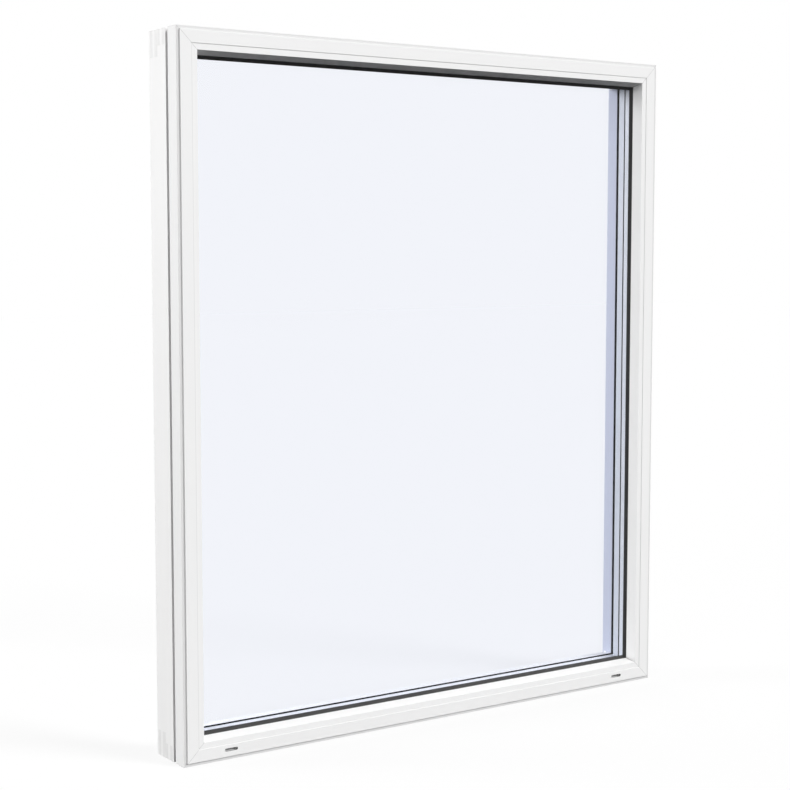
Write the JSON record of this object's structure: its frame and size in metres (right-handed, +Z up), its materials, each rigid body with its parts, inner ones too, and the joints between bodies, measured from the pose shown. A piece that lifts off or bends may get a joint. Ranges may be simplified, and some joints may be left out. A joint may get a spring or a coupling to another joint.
{
  "type": "fixed window",
  "caption": "Fixed picture window with a comb-jointed white timber frame, mitred white aluminium cladding, drain slots, black gaskets and a sealed insulating glass unit.",
  "frame": {"origin": "middle of the underside, halfway through the depth", "axes": "+Z up, +X along the width to the right as seen from outside, +Y from outside to the room"},
  "size_m": [1.18, 0.1134, 1.38],
  "materials": {
    "painted_timber": "satin",
    "coated_aluminium": "satin",
    "black_rubber": "matte",
    "black_plastic": "matte",
    "spacer_bar": "matte",
    "edge_sealant": "matte",
    "clear_glass": "polished"
  },
  "bodies": {
    "root": {"timber_sill": "painted_timber", "cladding_sill": "coated_aluminium", "cladding_clips_sill": "black_plastic", "outer_gasket_sill": "black_rubber", "inner_gasket_sill": "black_rubber", "outer_spacer_sill": "spacer_bar", "outer_seal_sill": "edge_sealant", "inner_spacer_sill": "spacer_bar", "inner_seal_sill": "edge_sealant", "timber_left_jamb": "painted_timber", "cladding_left": "coated_aluminium", "cladding_clips_left": "black_plastic", "outer_gasket_left": "black_rubber", "inner_gasket_left": "black_rubber", "outer_spacer_left": "spacer_bar", "outer_seal_left": "edge_sealant", "inner_spacer_left": "spacer_bar", "inner_seal_left": "edge_sealant", "timber_head": "painted_timber", "cladding_head": "coated_aluminium", "cladding_clips_head": "black_plastic", "outer_gasket_head": "black_rubber", "inner_gasket_head": "black_rubber", "outer_spacer_head": "spacer_bar", "outer_seal_head": "edge_sealant", "inner_spacer_head": "spacer_bar", "inner_seal_head": "edge_sealant", "timber_right_jamb": "painted_timber", "cladding_right": "coated_aluminium", "cladding_clips_right": "black_plastic", "outer_gasket_right": "black_rubber", "inner_gasket_right": "black_rubber", "outer_spacer_right": "spacer_bar", "outer_seal_right": "edge_sealant", "inner_spacer_right": "spacer_bar", "inner_seal_right": "edge_sealant", "outer_pane": "clear_glass", "middle_pane": "clear_glass", "inner_pane": "clear_glass", "setting_block_left": "black_plastic", "setting_block_right": "black_plastic"}
  },
  "joints": []
}
